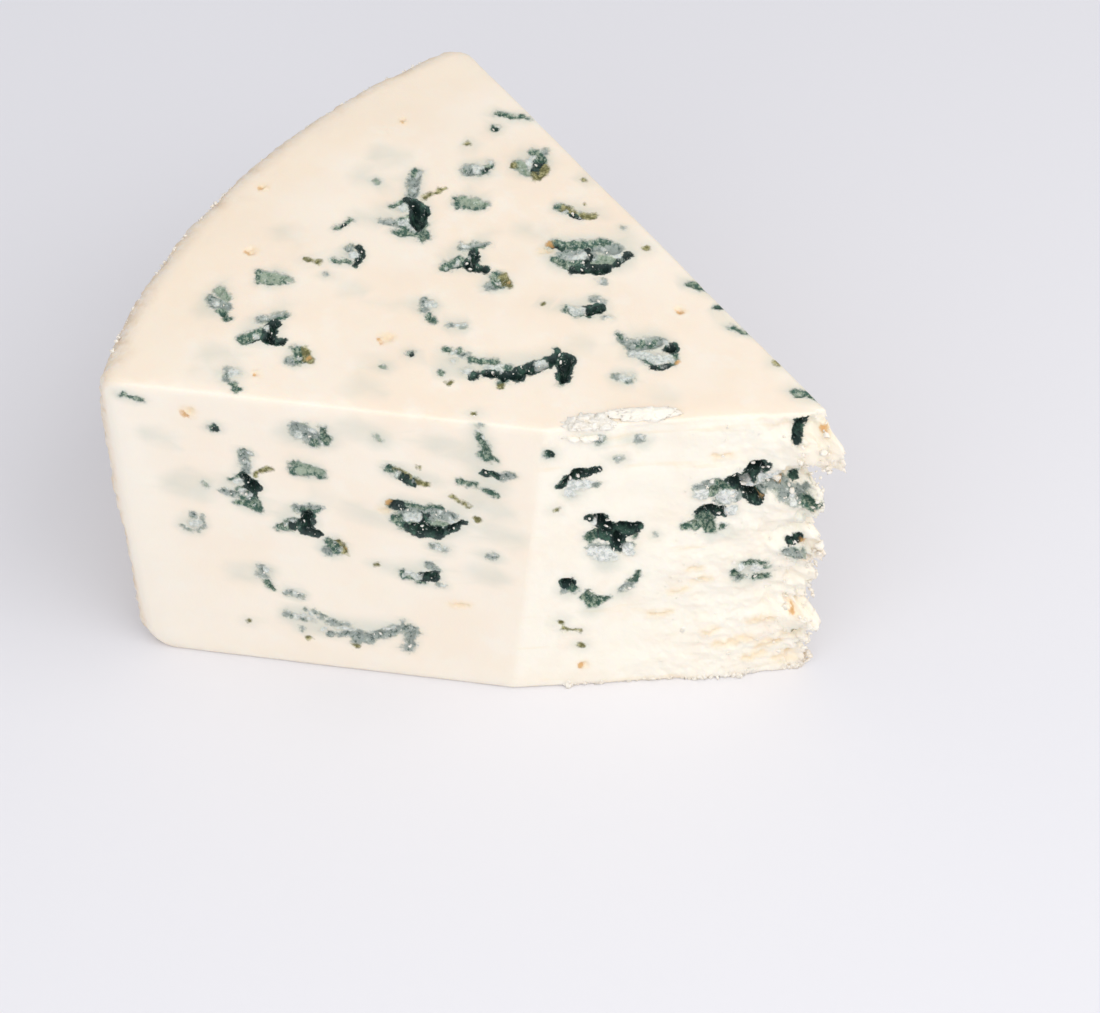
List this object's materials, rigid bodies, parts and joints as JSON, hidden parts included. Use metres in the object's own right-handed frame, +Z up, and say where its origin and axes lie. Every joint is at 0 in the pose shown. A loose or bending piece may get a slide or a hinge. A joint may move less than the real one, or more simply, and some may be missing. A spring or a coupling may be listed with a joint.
{
  "type": "wedge of blue-veined cheese",
  "caption": "Sector-shaped wedge of pale blue-veined cheese with a curved rind, flat knife cuts, a crumbly broken end and open mould pockets.",
  "frame": {"origin": "middle of the bounding box, on the base that the wedge stands on", "axes": "+Z up, +X from the rind towards the broken end, +Y towards the back knife cut"},
  "size_m": [0.0932, 0.0782, 0.05],
  "materials": {
    "cheese": "satin"
  },
  "bodies": {
    "root": {"cheese_wedge": "cheese"}
  },
  "joints": []
}
